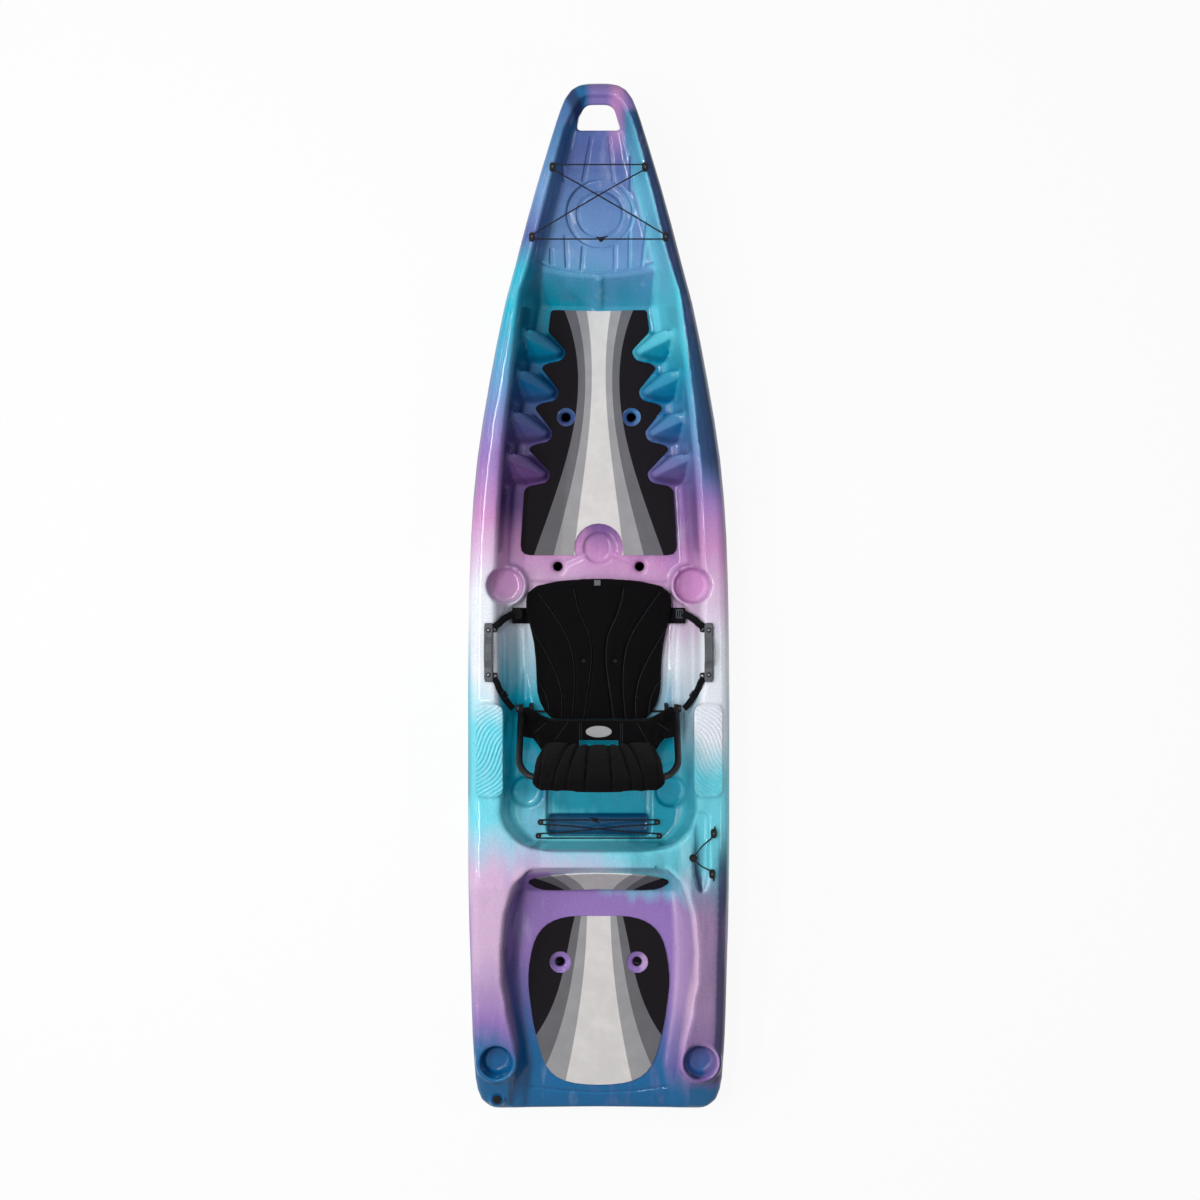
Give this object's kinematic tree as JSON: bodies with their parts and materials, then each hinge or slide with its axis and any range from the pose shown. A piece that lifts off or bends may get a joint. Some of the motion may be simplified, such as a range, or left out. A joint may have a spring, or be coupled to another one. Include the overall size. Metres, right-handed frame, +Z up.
{
  "type": "recreational kayak",
  "caption": "Sit-on-top recreational kayak with a tank well, leg well with foot braces, folding padded seat, rear deck well, cup holders, bungees, carry handles and a drain plug.",
  "frame": {"origin": "on the ground below the middle of the boat's box", "axes": "+Y to the bow, +X to starboard, +Z up"},
  "size_m": [0.857, 3.353, 0.5881],
  "materials": {
    "shell": "satin",
    "deck_foam": "matte",
    "bungee_cord": "matte",
    "black_nylon": "satin",
    "grey_nylon": "satin",
    "stainless_steel": "brushed",
    "seat_fabric": "matte",
    "painted_tube": "satin",
    "webbing": "matte"
  },
  "bodies": {
    "boat": {"hull": "shell", "front_deck_pad": "deck_foam", "mid_deck_pad": "deck_foam", "rear_deck_pad": "deck_foam", "bow_bungee": "bungee_cord", "bow_bungee_knot": "bungee_cord", "pocket_bungee": "bungee_cord", "pocket_bungee_knot": "bungee_cord", "paddle_park_bungee": "bungee_cord", "bow_anchor_front_port": "black_nylon", "bow_anchor_front_starboard": "black_nylon", "bow_anchor_rear_port": "black_nylon", "bow_anchor_rear_starboard": "black_nylon", "pocket_anchor_front_port": "black_nylon", "pocket_anchor_front_starboard": "black_nylon", "pocket_anchor_rear_port": "black_nylon", "pocket_anchor_rear_starboard": "black_nylon", "paddle_anchor_front": "black_nylon", "paddle_anchor_rear": "black_nylon", "paddle_park_button": "black_nylon", "drain_plug_flange": "black_nylon", "strap_plate_port_front": "black_nylon", "strap_plate_port_rear": "black_nylon", "strap_plate_starboard_front": "black_nylon", "strap_plate_starboard_rear": "black_nylon", "seat_pan": "black_nylon", "seat_tab_port": "black_nylon", "seat_tab_starboard": "black_nylon", "carry_handle_port": "grey_nylon", "carry_handle_starboard": "grey_nylon", "strap_buckle_port": "grey_nylon", "strap_buckle_starboard": "grey_nylon", "handle_screw_port_front": "stainless_steel", "handle_screw_port_rear": "stainless_steel", "handle_screw_starboard_front": "stainless_steel", "handle_screw_starboard_rear": "stainless_steel", "strap_clip_port_front": "stainless_steel", "strap_clip_port_rear": "stainless_steel", "strap_clip_starboard_front": "stainless_steel", "strap_clip_starboard_rear": "stainless_steel", "hinge_pin_port": "stainless_steel", "hinge_pin_starboard": "stainless_steel", "seat_cushion": "seat_fabric", "hinge_bracket_port": "painted_tube", "hinge_bracket_starboard": "painted_tube", "seat_strap_port_front": "webbing", "seat_strap_port_rear": "webbing", "seat_strap_starboard_front": "webbing", "seat_strap_starboard_rear": "webbing"},
    "backrest": {"back_frame": "painted_tube", "backrest_pad": "seat_fabric", "backrest_wing_port": "seat_fabric", "backrest_wing_starboard": "seat_fabric", "hinge_band": "seat_fabric", "badge_patch": "grey_nylon"},
    "plug": {"drain_plug": "black_nylon"}
  },
  "joints": [
    {"name": "backrest_fold", "type": "hinge", "parent": "boat", "child": "backrest", "pos_m": [0, -0.35, 0.212], "axis": [-1, 0, 0], "range_deg": [0, 118]},
    {"name": "drain_plug_pull", "type": "slide", "parent": "boat", "child": "plug", "axis": [0, 0, 1], "range_m": [0, 0.03]}
  ]
}
